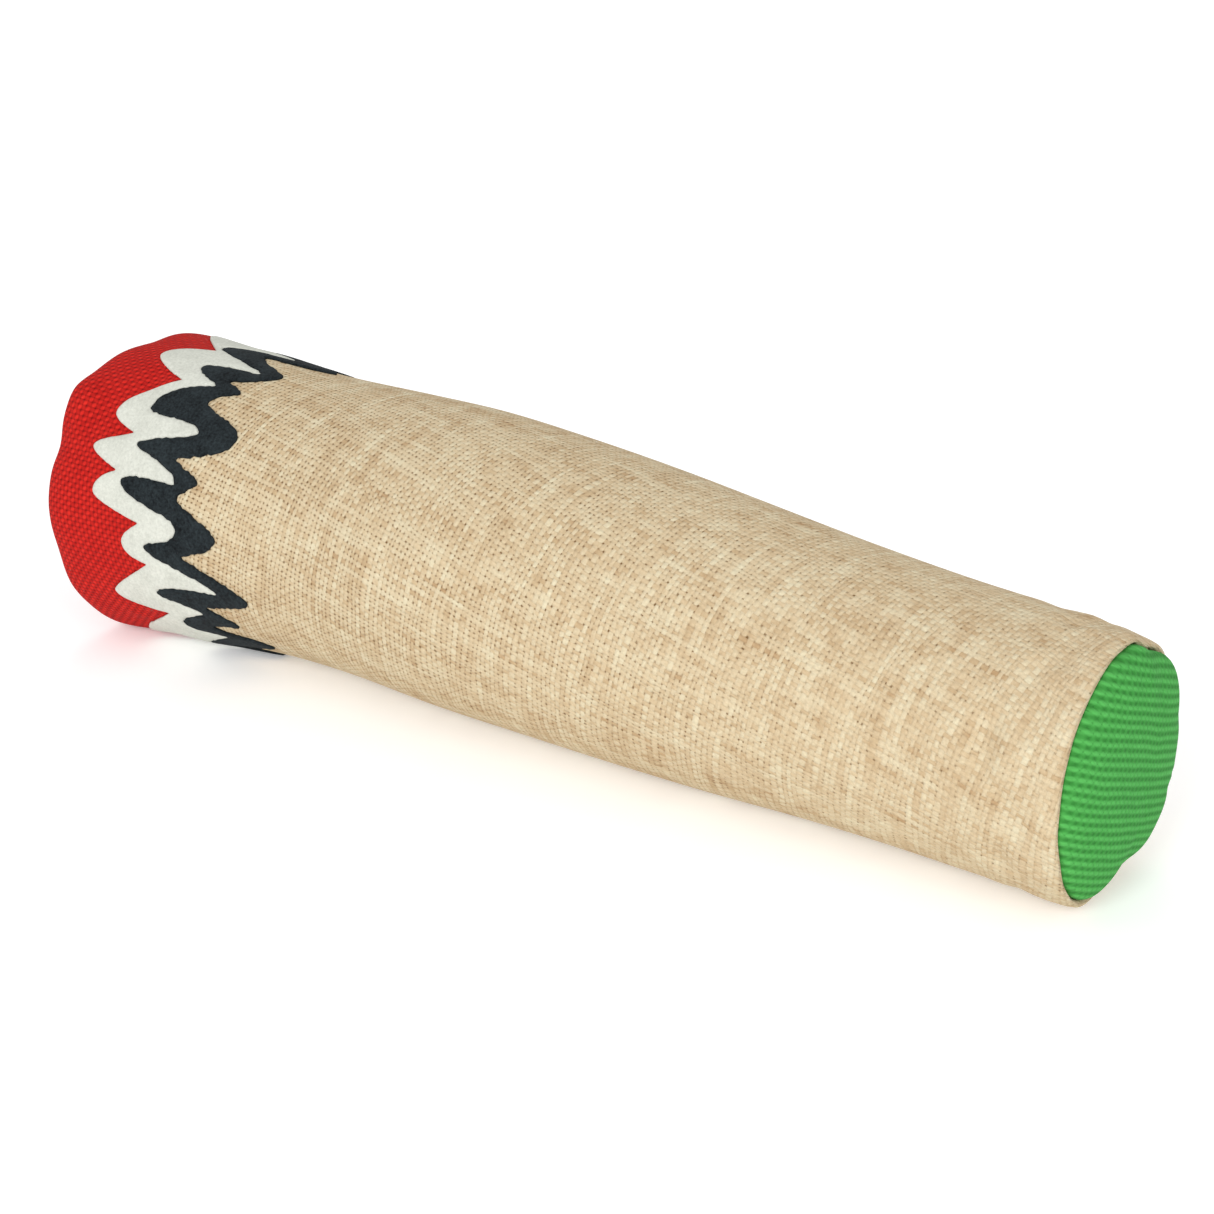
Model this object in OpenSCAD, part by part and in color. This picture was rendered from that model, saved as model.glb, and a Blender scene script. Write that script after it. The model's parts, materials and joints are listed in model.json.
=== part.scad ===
// A soft rainstick: a drilled cardboard tube with bamboo pins and loose beads, wrapped in batting and
// sewn into a tapered cloth cover with felt zigzag bands.
// The stick lies along X with its wide red end at -X and its narrow green end at +X. Z is up, and the
// origin is the middle of the ground under it. The cover tapers, so its axis dips towards the green end.

/* [Cover] */
// Length over both cloth ends
cover_len = 204; // [160:1:300]
// Radius of the cover at its red shoulder
red_r = 27.6; // [25:0.1:32]
// Radius of the cover at its green shoulder
green_r = 20.9; // [20:0.1:25]
// How deep the underside is pressed flat by its own weight
flat_depth = 1.4; // [1:0.1:2]
// Thickness of the canvas and linen
cloth_t = 1.1; // [0.8:0.1:1.5]
// Thickness of the felt bands
felt_t = 0.8; // [0.5:0.1:1]
// Axial length of the rounded shoulder at each end
shoulder_len = 5.5; // [4:0.5:8]
// How far the end seam lies inside the shoulder
shoulder_drop = 2.9; // [2.5:0.1:4]
// How far each end disc bulges past its seam
cap_bulge = 2.9; // [0.5:0.1:3]
// Length of the seam allowance turned in at each end
allowance_len = 7; // [5:0.5:9]

/* [Bands] */
// Where the red canvas meets the linen under the felt
join_x = -74.5; // [-76:0.5:-66]
// Middle of the edge between red canvas and white felt
red_white_x = -81.5; // [-84:0.5:-80]
// Middle of the edge between white and black felt
white_black_x = -72; // [-74:0.5:-71]
// Middle of the edge between black felt and linen
black_linen_x = -62.5; // [-64:0.5:-61]
// Number of lobes round the zigzag
lobes = 15; // [11:1:17]
// Half height of a lobe
lobe_amp = 4.2; // [2:0.1:5]
// Space between the two felt bands
band_gap = 0.3; // [0.2:0.1:0.6]

/* [Core] */
// Length of the cardboard tube
tube_len = 168; // [150:1:170]
// Outer radius of the cardboard tube
tube_r = 15; // [14.5:0.1:15]
// Radius of its bore
bore_r = 13; // [12.8:0.1:13]
// Thickness of the paper tape over it
wrap_t = 0.4; // [0.2:0.1:0.5]
// Depth of each plug inside the bore
plug_depth = 8; // [6:0.5:10]
// Thickness of each plug's flange
flange_t = 2.5; // [1.5:0.1:3]

/* [Pins] */
// Turns of the helix of pins
turns = 7; // [7:1:7]
// Pins in one turn
pins_per_turn = 5; // [5:1:5]
// Distance along the tube from one pin to the next
pin_step = 3.9; // [3:0.1:4]
// Radius of a pin
pin_r = 0.7; // [0.5:0.1:0.75]
// How near the axis a pin's inner end comes
pin_tip = 1.6; // [1.2:0.1:4]

/* [Beads] */
// Radius of a bead
bead_r = 1.8; // [1.5:0.1:1.8]
// Distance between the centres of neighbouring beads in a row
bead_pitch = 3.7; // [3.65:0.05:4]
// Beads in the left, middle, right and upper rows
bead_counts = [10, 12, 11, 9]; // [5:1:14]

/* [Hidden] */
PIN_NODES = [for (turn = [1:turns]) str("pins_turn_", turn)];
BEAD_NODES = ["bead_row_left", "bead_row_middle", "bead_row_right", "bead_row_upper"];

$fn = 96;
fine_fn = 24;
clearance = 0.1;
half_len = cover_len / 2;

// Cover: a cone whose lowest line lies level.
seam_end = half_len - cap_bulge;
shoulder_x = seam_end - shoulder_len;
taper = (red_r - green_r) / (2 * shoulder_x);
tilt = atan(taper);
mid_r = (red_r + green_r) / 2;
axis_z = mid_r * cos(tilt) - flat_depth;
red_seam_r = red_r - shoulder_drop;
green_seam_r = green_r - shoulder_drop;
felt_lift = felt_t + 0.15;
band_start_x = red_white_x - 7.5;
band_end_x = black_linen_x + 7.5;
inner_floor = cloth_t + felt_lift;
batting_gap = cloth_t + 0.15;

// Lengthwise seam, at the back and a little below the middle.
seam_angle = -18;
seam_width_angle = 26;
seam_start_x = join_x + 3;
seam_stop_x = shoulder_x - 4;

// Stitches.
thread_r = 0.25;
stitch_len = 2.4;
cap_stitch_step = 3.4;
closing_count = 18;
closing_step = 3.6;

// Core.
half_tube = tube_len / 2;
half_run = half_tube - plug_depth;
pin_count = turns * pins_per_turn;
pin_first_x = -(pin_count - 1) * pin_step / 2;
pin_angle_step = 360 / pins_per_turn;

// Beads: three tracks on the floor of the bore, between two lines of pins, and one above the middle.
track_r = bore_r - bead_r - 0.15;
track_spread = 2 * asin((bead_r + 0.155) / track_r);
upper_track_r = track_r - 2 * bead_r - 0.35;
TRACKS = [[track_r, 270 - track_spread], [track_r, 270], [track_r, 270 + track_spread],
          [upper_track_r, 270]];

// Radius of the cover at a place along it.
function cover_r(x) = mid_r - x * taper;

// Height of the zigzag at an angle round the cover, with a hand-cut unevenness.
function zigzag(a) =
    lobe_amp * (1 + 0.15 * cos(4 * a)) * sin(lobes * a + 25 * sin(3 * a)) + 0.8 * sin(2 * a + 40);

// A point at place x, distance rho and angle a about the dipping axis, kept above a floor.
function on_cover(x, rho, a, low) =
    [x * cos(tilt) + rho * sin(a) * sin(tilt),
     rho * cos(a),
     max(low, axis_z + rho * sin(a) * cos(tilt) - x * sin(tilt))];

module on_axis() {
    translate([0, 0, axis_z]) rotate([0, tilt, 0]) children();
}

// Turns a profile of [radius, x] points about the axis.
module spin(profile) {
    on_axis() rotate([0, 90, 0]) rotate_extrude() polygon(profile);
}

module keep_above(low) {
    intersection() {
        children();
        translate([-cover_len, -cover_len, low]) cube(2 * cover_len);
    }
}

// Clears the ground under the felt bands, so that cloth beneath them doesn't reach it.
module lifted_under_bands() {
    difference() {
        keep_above(0) children();
        translate([band_start_x, -half_len, -1])
            cube([band_end_x - band_start_x, cover_len, 1 + felt_lift]);
    }
}

// Profile of a cover wall from its open end at open_x to the turned seam at one end of the stick.
// side is -1 at the red end and 1 at the green end.
function wall_profile(open_x, side, seam_r) =
    let (
        bend_x = side * shoulder_x,
        outer_h = cover_r(bend_x) - seam_r,
        inner_h = outer_h - cloth_t
    )
    concat(
        [[cover_r(open_x), open_x]],
        [for (a = [0:15:90]) [seam_r + outer_h * cos(a), bend_x + side * shoulder_len * sin(a)]],
        [[seam_r - cloth_t, side * seam_end],
         [seam_r - cloth_t, side * (seam_end - allowance_len)],
         [seam_r, side * (seam_end - allowance_len)]],
        [for (a = [90:-15:0])
            [seam_r + inner_h * cos(a), bend_x + side * (shoulder_len - cloth_t) * sin(a)]],
        [[cover_r(open_x) - cloth_t, open_x]]);

// Hollow of a cover wall, filled down to the inner floor so that the pressed side keeps its thickness.
module wall(open_x, side, seam_r) {
    lifted_under_bands() spin(wall_profile(open_x, side, seam_r));
    pressed_side(open_x, side);
}

// The level strip that closes the pressed underside of a wall.
module pressed_side(open_x, side) {
    far_x = side * (shoulder_x + 1);
    from_x = min(open_x, far_x);
    lifted_under_bands() intersection() {
        spin([[0, open_x], [cover_r(open_x), open_x], [cover_r(far_x) - 0.5, far_x], [0, far_x]]);
        translate([from_x, -half_len, 0]) cube([abs(far_x - open_x), cover_len, inner_floor]);
    }
}

module linen_sleeve() {
    color("burlywood") wall(join_x + clearance, 1, green_seam_r);
}

module red_side() {
    color("crimson") wall(join_x - clearance, -1, red_seam_r);
}

// A felt band between two zigzag edges.
module felt_band(left_x, right_x) {
    columns = 12 * lobes;
    inner = 0.12;
    outer = inner + felt_t;
    corners = [for (i = [0:columns - 1])
        let (a = 360 * i / columns, l = left_x + zigzag(a), r = right_x + zigzag(a))
        each [on_cover(l, cover_r(l) + outer, a, 0), on_cover(r, cover_r(r) + outer, a, 0),
              on_cover(r, cover_r(r) + inner, a, felt_t), on_cover(l, cover_r(l) + inner, a, felt_t)]];
    faces = [for (i = [0:columns - 1], k = [0:3])
        let (j = (i + 1) % columns, n = (k + 1) % 4)
        [4 * i + k, 4 * j + k, 4 * j + n, 4 * i + n]];
    polyhedron(corners, faces, convexity = 8);
}

module white_band() {
    color("ivory") felt_band(red_white_x, white_black_x - band_gap / 2);
}

module black_band() {
    color("#26282c") felt_band(white_black_x + band_gap / 2, black_linen_x);
}

// A cloth end disc, bulged, with its allowance turned in.
module cap(side, seam_r) {
    edge_r = seam_r - cloth_t - clearance;
    rim_x = seam_end;
    outer = [for (k = [0:0.1:1]) [edge_r * k, side * (rim_x + cap_bulge * (1 - k * k))]];
    inner_r = edge_r - cloth_t;
    inner = [for (k = [1:-0.1:0]) [inner_r * k, side * (rim_x - cloth_t + cap_bulge * (1 - k * k))]];
    skirt_x = side * (seam_end - allowance_len);
    keep_above(inner_floor) spin(concat(outer, [[edge_r, skirt_x], [inner_r, skirt_x]], inner));
}

module green_cap() {
    color("forestgreen") cap(1, green_seam_r);
}

module red_cap() {
    color("firebrick") cap(-1, red_seam_r);
}

// The opened allowance of the lengthwise seam, against the inside of the linen.
module sleeve_seam() {
    gap = cloth_t + clearance;
    profile = [[cover_r(seam_start_x) - gap, seam_start_x],
               [cover_r(seam_stop_x) - gap, seam_stop_x],
               [cover_r(seam_stop_x) - gap - cloth_t, seam_stop_x],
               [cover_r(seam_start_x) - gap - cloth_t, seam_start_x]];
    color("tan") on_axis() rotate([0, 90, 0])
        rotate([0, 0, 90 - seam_angle - seam_width_angle / 2])
            rotate_extrude(angle = seam_width_angle) polygon(profile);
}

// One straight stitch, lying across the line from the axis.
module stitch(x, rho, a) {
    on_axis() rotate([a, 0, 0]) translate([x, rho, 0])
        cylinder(r = thread_r, h = stitch_len, center = true, $fn = fine_fn);
}

module closing_stitch() {
    color("wheat") for (i = [0:closing_count - 1]) {
        x = (i - (closing_count - 1) / 2) * closing_step + 10;
        stitch(x, cover_r(x) + thread_r + 0.05, seam_angle);
    }
}

// Thread round the inside of an end seam.
module cap_stitches(side, seam_r) {
    ring_r = seam_r - 2 * (cloth_t + clearance) - thread_r - 0.05;
    count = floor(2 * PI * ring_r / cap_stitch_step);
    x = side * (seam_end - allowance_len + 2);
    for (i = [0:count - 1]) stitch(x, ring_r, 360 * i / count);
}

module red_cap_stitches() {
    color("darkred") cap_stitches(-1, red_seam_r);
}

module green_cap_stitches() {
    color("darkgreen") cap_stitches(1, green_seam_r);
}

// Stuffing round the core, between the two seam allowances.
module batting_wrap() {
    end_x = seam_end - allowance_len - 1;
    core_r = tube_r + wrap_t + 0.2;
    gap = cloth_t + batting_gap;
    color("whitesmoke") keep_above(inner_floor + clearance) difference() {
        spin([[0, -end_x], [cover_r(-end_x) - gap, -end_x], [cover_r(end_x) - gap, end_x], [0, end_x]]);
        on_axis() rotate([0, 90, 0]) cylinder(r = core_r, h = cover_len, center = true);
    }
}

// Stuffing between a plug and its cloth end.
module batting_pad(side, seam_r) {
    pad_r = seam_r - 2 * (cloth_t + clearance) - 2 * thread_r - 0.3;
    from_x = half_tube + flange_t + 0.3;
    to_x = seam_end - cloth_t - clearance;
    top = [for (k = [1:-0.1:0]) [pad_r * k, side * (to_x + cap_bulge * (1 - k * k) * 0.9)]];
    neck_r = min(pad_r, tube_r);
    keep_above(inner_floor + clearance)
        spin(concat([[0, side * from_x], [neck_r, side * from_x],
                     [neck_r, side * (seam_end - allowance_len)],
                     [pad_r, side * (seam_end - allowance_len)]], top));
}

module batting_pad_red() {
    color("whitesmoke") batting_pad(-1, red_seam_r);
}

module batting_pad_green() {
    color("whitesmoke") batting_pad(1, green_seam_r);
}

// Place and angle of a pin. Its line never crosses the bead tracks.
module at_pin(i) {
    on_axis() rotate([270 + pin_angle_step / 2 + pin_angle_step * i, 0, 0])
        translate([pin_first_x + i * pin_step, 0, 0]) rotate([-90, 0, 0]) children();
}

module core_tube() {
    color("peru") difference() {
        on_axis() rotate([0, 90, 0]) difference() {
            cylinder(r = tube_r, h = tube_len, center = true);
            cylinder(r = bore_r, h = tube_len + 2, center = true);
        }
        for (i = [0:pin_count - 1]) at_pin(i)
            translate([0, 0, bore_r - 2]) cylinder(r = pin_r + 0.05, h = tube_r, $fn = fine_fn);
    }
}

module core_wrap() {
    color("sandybrown") on_axis() rotate([0, 90, 0]) difference() {
        cylinder(r = tube_r + 0.05 + wrap_t, h = tube_len - 4, center = true);
        cylinder(r = tube_r + 0.05, h = tube_len, center = true);
    }
}

module plug(side) {
    stop_x = side * (half_tube + 0.05);
    spin([[0, side * half_run], [bore_r - 0.05, side * half_run], [bore_r - 0.05, stop_x],
          [tube_r, stop_x], [tube_r, stop_x + side * flange_t], [0, stop_x + side * flange_t]]);
}

module plug_red() {
    color("saddlebrown") plug(-1);
}

module plug_green() {
    color("saddlebrown") plug(1);
}

// The pins of one turn of the helix, counted from 1.
module pins(turn) {
    color("khaki") for (i = [0:pins_per_turn - 1]) at_pin((turn - 1) * pins_per_turn + i)
        translate([0, 0, pin_tip]) cylinder(r = pin_r, h = tube_r - 0.1 - pin_tip, $fn = fine_fn);
}

// One row of beads, at rest against the plug of the green end.
module bead_row(k) {
    first_x = half_run - bead_r - 0.3;
    color(["orangered", "gold", "deepskyblue", "mediumseagreen"][k]) on_axis()
        rotate([TRACKS[k][1], 0, 0]) for (i = [0:bead_counts[k] - 1])
            translate([first_x - i * bead_pitch, TRACKS[k][0], 0]) sphere(r = bead_r, $fn = 32);
}

linen_sleeve();
black_band();
white_band();
red_side();
green_cap();
red_cap();
sleeve_seam();
closing_stitch();
red_cap_stitches();
green_cap_stitches();
batting_wrap();
batting_pad_red();
batting_pad_green();
core_tube();
core_wrap();
plug_red();
plug_green();
for (turn = [1:turns]) pins(turn);
for (k = [0:3]) bead_row(k);
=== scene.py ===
"""A soft rainstick: its cloth cover, felt bands, seams and stuffing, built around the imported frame.

The stick lies along X with its wide red end at -X and its narrow green end at +X. A spot on the cloth
is given by its place along X and its angle about the stick: 0 degrees is the back, 90 the top, 180 the
front and 270 the ground. Lengths are in millimetres until a mesh is made, and MM turns them to metres.
"""
import json
import math

import bmesh
import bpy
import numpy as np
from mathutils import Matrix, Vector, geometry


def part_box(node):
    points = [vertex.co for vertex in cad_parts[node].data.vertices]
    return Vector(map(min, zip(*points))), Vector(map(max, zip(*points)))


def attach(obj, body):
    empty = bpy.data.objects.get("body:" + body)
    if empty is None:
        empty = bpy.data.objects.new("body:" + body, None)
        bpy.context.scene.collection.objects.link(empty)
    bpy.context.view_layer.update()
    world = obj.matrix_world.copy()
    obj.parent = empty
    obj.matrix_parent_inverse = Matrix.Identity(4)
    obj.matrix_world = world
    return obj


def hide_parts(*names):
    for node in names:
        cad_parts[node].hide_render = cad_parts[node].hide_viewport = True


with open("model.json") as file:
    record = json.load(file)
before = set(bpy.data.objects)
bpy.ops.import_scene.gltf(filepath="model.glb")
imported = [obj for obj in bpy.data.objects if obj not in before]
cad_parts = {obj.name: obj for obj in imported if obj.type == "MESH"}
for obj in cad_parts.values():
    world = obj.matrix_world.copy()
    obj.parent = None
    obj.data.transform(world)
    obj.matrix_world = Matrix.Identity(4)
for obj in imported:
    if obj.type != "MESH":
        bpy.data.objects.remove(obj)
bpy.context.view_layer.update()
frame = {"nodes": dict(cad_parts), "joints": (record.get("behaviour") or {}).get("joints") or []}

MM = 0.001
STICK = "stick"

# ---- shape of the cover ----

# The wall's outline as (place, radius), from the red end's turned-in edge over its rim, along the
# side, and over the green end's rim to its turned-in edge.
WALL_OUTLINE = [
    (-92.5, 24.3), (-96.5, 24.4), (-98.9, 24.7), (-99.9, 25.5), (-99.7, 26.6), (-98.2, 27.7),
    (-95.5, 28.3), (-91, 28.1), (-84.5, 27.5), (-76, 27.2), (-67, 26.4), (-55, 25.9),
    (-40, 26), (-22, 26.4), (-4, 25.9), (14, 25), (32, 23.7), (50, 22.3),
    (66, 21.4), (80, 21), (91, 20.8), (96, 20.7), (98.5, 20.4), (99.5, 19.9),
    (99.3, 19.4), (98.4, 19.15), (96.5, 18.9), (92.5, 18.7)]
# Each end disc's outline, from its middle over its bulge to its turned-in edge.
RED_CAP_OUTLINE = [
    (-102.6, 0), (-102.4, 7), (-101.8, 14), (-100.9, 19.5), (-99.6, 23.2), (-98, 24.1),
    (-95.5, 24.2), (-92.5, 24.1)]
GREEN_CAP_OUTLINE = [
    (103.3, 0), (103.2, 6), (102.8, 11), (101.9, 15), (100.7, 17.6), (99.6, 18.8),
    (98.4, 19.05), (95.5, 18.7), (92.5, 18.5)]
# Where the stick's middle line runs: (place, height) and (place, how far back it bows).
AXIS_HEIGHT = [(-100, 26.3), (-70, 25.2), (-20, 25.0), (40, 21.8), (100, 19.5)]
AXIS_BOW = [(-100, 0.0), (-75, 1.4), (-45, 2.6), (-10, 1.6), (25, 1.3), (60, 1.1), (100, 0.0)]

JOIN_PLACE = -74.6
CLOTH_T = 1.0
FELT_T = 0.5
# How softly the underside bends into the flat that the ground presses in it.
FLOOR_SOFTNESS = 0.5
# Where the linen's seam runs, at the back.
SEAM_ANGLE = -18.0
FRONT_ANGLE = SEAM_ANGLE + 180
# How close together the points of each outline are.
PATH_STEP = 0.25
# How far the stuffing's lumps and the gathers at each end seam stand out.
LUMP_SIZE = 0.28
RED_GATHER = 0.35
GREEN_GATHER = 0.12
# How far from an end its gathers fade.
GATHER_REACH = 9.0
# The crease that the back seam pulls in, the swell beside it, and millimetres a degree there.
CREASE_DEPTH = 0.45
SWELL_HEIGHT = 0.25
CREASE_WIDTH = 0.8
SWELL_WIDTH = 2.4
SEAM_MM_PER_DEGREE = 0.42
# Within this distance of a disc's middle the unevenness fades.
CALM_MIDDLE = 19.0


def lengths(line):
    """How far along a line each of its points is."""
    return np.concatenate([[0], np.cumsum(np.linalg.norm(np.diff(line, axis=0), axis=1))])


def read_line(at, along, line):
    """The spots at some lengths along a line."""
    return np.stack([np.interp(at, along, line[:, k]) for k in range(2)], axis=1)


def smooth_path(points, step):
    """Points every step along a smooth curve through the given ones."""
    p = np.array(points, float)
    p = np.vstack([2 * p[0] - p[1], p, 2 * p[-1] - p[-2]])
    t = np.linspace(0, 1, 40, endpoint=False)[:, None]
    dense = []
    for a, b, c, d in zip(p, p[1:], p[2:], p[3:]):
        dense.append(0.5 * (2 * b + (c - a) * t + (2 * a - 5 * b + 4 * c - d) * t ** 2
                            + (3 * b - a - 3 * c + d) * t ** 3))
    dense = np.vstack(dense + [p[-2][None]])
    along = lengths(dense)
    at = np.linspace(0, along[-1], int(round(along[-1] / step)) + 1)
    return at, read_line(at, along, dense)


def curve_through(points):
    """A smooth function of place through (place, value) points."""
    _, path = smooth_path(points, 0.5)
    return lambda place: np.interp(place, path[:, 0], path[:, 1])


axis_height = curve_through(AXIS_HEIGHT)
axis_bow = curve_through(AXIS_BOW)
WALL_AT, WALL_PATH = smooth_path(WALL_OUTLINE, PATH_STEP)
SIDE = (WALL_AT > 12) & (WALL_AT < WALL_AT[-1] - 12)


def wall_at(place):
    """How far along the wall's outline a place on the side is."""
    return np.interp(place, WALL_PATH[SIDE, 0], WALL_AT[SIDE])


def waves(count, lowest, highest, seed):
    """Seeded random waves round the stick: (number of lobes, strength, start, drift along the stick)."""
    random = np.random.default_rng(seed)
    return [(random.integers(lowest, highest + 1), random.uniform(0.5, 1.0),
             random.uniform(0, 2 * math.pi), random.uniform(-2.5, 2.5)) for _ in range(count)]


STUFFING = waves(7, 2, 6, 3)
PUCKERS = waves(6, 9, 17, 11)


def wave_sum(terms, place, angle):
    """The sum of the waves at a spot, mostly within 1 of zero."""
    turn = np.radians(angle)
    total = sum(s * np.cos(n * turn + start + drift * place / 30.0) for n, s, start, drift in terms)
    return total / math.sqrt(len(terms))


# Flats (positive) and corners (negative) that the seams pull into the ends, as
# (angle, half width, depth, how far along the stick it reaches).
RED_END_DENTS = [(92, 17, 1.5, 14), (129, 8, -1.6, 9), (150, 9, 0.9, 9), (167, 8, 0.7, 9),
                 (192, 9, 0.5, 9), (20, 20, 0.6, 9), (330, 18, 0.5, 9), (232, 22, -1.2, 22)]
GREEN_END_DENTS = [(272, 21, 2.8, 12), (62, 12, 0.6, 11), (34, 14, -1.3, 9), (316, 19, -0.5, 10),
                   (291, 22, 0.75, 6), (120, 14, 0.3, 10)]
# How far the linen's turned edge falls back behind the green disc, on which side most, and from where.
EDGE_LEAN = 1.3
LEAN_ANGLE = 30.0
LEAN_FROM = 88.0


def angle_from(angle, centre):
    """How many degrees an angle is from another, the short way round."""
    return (angle - centre + 180) % 360 - 180


def dents(places, away, angle):
    """How far the flats and corners of one end pull in, away millimetres from it."""
    total = 0
    for centre, width, depth, reach in places:
        off = angle_from(angle, centre)
        total = total + depth * np.exp(-(off / width) ** 2 - (away / reach) ** 2)
    return total


def unevenness(place, angle):
    """How far the stuffed cloth stands out from its outline."""
    lumps = LUMP_SIZE * wave_sum(STUFFING, place, angle)
    red = np.clip((place + 100) / GATHER_REACH, 0, 1.5)
    green = np.clip((100 - place) / GATHER_REACH, 0, 1.5)
    gather = RED_GATHER * np.exp(-red ** 2 * 2) + GREEN_GATHER * np.exp(-green ** 2 * 2)
    corner = (dents(RED_END_DENTS, np.maximum(place + 99, 0), angle)
              + dents(GREEN_END_DENTS, np.maximum(99 - place, 0), angle))
    off = angle_from(angle, SEAM_ANGLE) * SEAM_MM_PER_DEGREE
    crease = (CREASE_DEPTH * np.exp(-(off / CREASE_WIDTH) ** 2)
              - SWELL_HEIGHT * np.exp(-(off / SWELL_WIDTH) ** 2))
    return lumps + gather * wave_sum(PUCKERS, place, angle) - corner - crease


def above_floor(z, low):
    """Presses what is under a level up to it, with a soft bend."""
    return low + 0.5 * (z - low + np.sqrt((z - low) ** 2 + FLOOR_SOFTNESS ** 2))


def ring_point(place, radius, angle, low=0.0):
    """A spot on the stuffed shape, from its outline's place and radius and its angle."""
    share = np.clip(radius / CALM_MIDDLE, 0, 1)
    rho = radius + unevenness(place, angle) * share ** 2 * (3 - 2 * share)
    turn = np.radians(angle)
    y = axis_bow(place) + rho * np.cos(turn)
    z = above_floor(axis_height(place) + rho * np.sin(turn), low)
    return np.stack(np.broadcast_arrays(place, y, z), axis=-1)


class Skin:
    """The cloth surface over one outline, with the movement that the simulation gives it."""

    def __init__(self, at, path, way=1, lean=0.0):
        self.at, self.path, self.way, self.lean = at, path, way, lean
        self.moved = None

    def outline(self, s):
        """The place and radius at s along the outline."""
        return (np.interp(s, self.at, self.path[:, k]) for k in (0, 1))

    def base(self, s, angle, low):
        """The spot at s along the outline and an angle, on the cloth's outer side."""
        place, radius = self.outline(s)
        side = 0.5 + 0.5 * np.cos(np.radians(angle - LEAN_ANGLE))
        back = np.clip((place - LEAN_FROM) / 10, 0, 1) ** 2 * side
        spot = ring_point(place - self.lean * back, radius, angle, low)
        if self.moved is not None:
            spot = spot + self.moved(s, angle)
            spot[..., 2] = np.maximum(spot[..., 2], low + 0.02)
        return spot

    def point(self, s, angle, lift=0.0, low=0.0):
        """The spot at s along the outline and an angle, lifted off the cloth."""
        s, angle, lift = np.broadcast_arrays(np.asarray(s, float), np.asarray(angle, float), lift)
        spot = self.base(s, angle, low)
        ahead = self.base(s + 0.2, angle, low) - self.base(s - 0.2, angle, low)
        round_ = self.base(s, angle + 0.6, low) - self.base(s, angle - 0.6, low)
        normal = np.cross(round_, ahead) * self.way
        normal /= np.maximum(np.linalg.norm(normal, axis=-1, keepdims=True), 1e-9)
        spot = spot + normal * lift[..., None]
        spot[..., 2] = np.maximum(spot[..., 2], low)
        return spot


wall = Skin(WALL_AT, WALL_PATH, lean=EDGE_LEAN)
red_disc = Skin(*smooth_path(RED_CAP_OUTLINE, PATH_STEP))
green_disc = Skin(*smooth_path(GREEN_CAP_OUTLINE, PATH_STEP), way=-1)


def floor_level(place):
    """How high the cloth's underside lies: a felt's thickness up under the bands."""
    start = np.clip((place + 91) / 3, 0, 1)
    end = np.clip((-50 - place) / 3, 0, 1)
    return (FELT_T + 0.05) * np.minimum(start, end)


# ---- meshes ----

def link(obj):
    bpy.context.scene.collection.objects.link(obj)
    return obj


def make_mesh(name, points, faces, material, uv=None):
    """An object from points in millimetres, faces and the cloth coordinates of each face corner."""
    mesh = bpy.data.meshes.new(name)
    mesh.from_pydata((np.asarray(points) * MM).tolist(), [], faces)
    mesh.polygons.foreach_set("use_smooth", [True] * len(mesh.polygons))
    if uv is not None:
        layer = mesh.uv_layers.new(name="cloth_mm")
        layer.data.foreach_set("uv", np.asarray(uv, np.float32).ravel())
    if material is not None:
        mesh.materials.append(material)
    shell = bmesh.new()
    shell.from_mesh(mesh)
    bmesh.ops.recalc_face_normals(shell, faces=shell.faces)
    shell.to_mesh(mesh)
    shell.free()
    return link(bpy.data.objects.new(name, mesh))


def grid_faces(rows, columns, first=0):
    """Quads of a grid that closes on itself round the columns, and where each corner's cloth
    coordinates stand in a table with one more column."""
    i, j = np.meshgrid(np.arange(rows - 1), np.arange(columns), indexing="ij")
    k = (j + 1) % columns
    row, next_row = i * columns, (i + 1) * columns
    quads = np.stack([row + j, row + k, next_row + k, next_row + j], -1)
    row, next_row = i * (columns + 1) + j, (i + 1) * (columns + 1) + j
    cells = np.stack([row, row + 1, next_row + 1, next_row], -1)
    return quads.reshape(-1, 4) + first, cells.reshape(-1, 4)


def fan_faces(middle, ring):
    """Triangles from a middle point to a ring of points."""
    return [[middle, a, b] for a, b in zip(ring, ring[1:] + ring[:1])]


def two_sides(outer, inner):
    """The points of a piece's outer grid and then its inner one."""
    return np.vstack([outer.reshape(-1, 3), inner.reshape(-1, 3)])


def edge_faces(outer_row, inner_row):
    """Quads that close the gap between two rings of points."""
    return np.stack([outer_row, inner_row, np.roll(inner_row, -1), np.roll(outer_row, -1)], -1)


def shell_faces(rows, columns):
    """Quads of a closed tube wall whose inner grid of points follows its outer one."""
    count = rows * columns
    first, last = np.arange(columns), np.arange(count - columns, count)
    return np.vstack([grid_faces(rows, columns)[0], grid_faces(rows, columns, count)[0],
                      edge_faces(first, first + count), edge_faces(last, last + count)])


def cloth_tube(name, skin, s, angles, thickness, material):
    """A closed cloth tube over rows s of a skin."""
    place, radius = skin.outline(s)
    low = floor_level(place)[:, None]
    around = angles[None, :]
    flat_angle = np.concatenate([angles, [angles[0] + 360]]) - FRONT_ANGLE
    uv = np.stack(np.broadcast_arrays(s[:, None], np.radians(flat_angle)[None] * radius[:, None]), -1)
    outer = skin.point(s[:, None], around, 0.0, low)
    inner = skin.point(s[:, None], around, -thickness, low + thickness)
    faces = shell_faces(*outer.shape[:2])
    cells = grid_faces(*outer.shape[:2])[1]
    corner_uv = np.zeros((len(faces), 4, 2))
    corner_uv[:2 * len(cells)] = uv.reshape(-1, 2)[np.vstack([cells, cells])]
    points = two_sides(outer, inner)
    return make_mesh(name, points, faces.tolist(), material, corner_uv)


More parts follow.
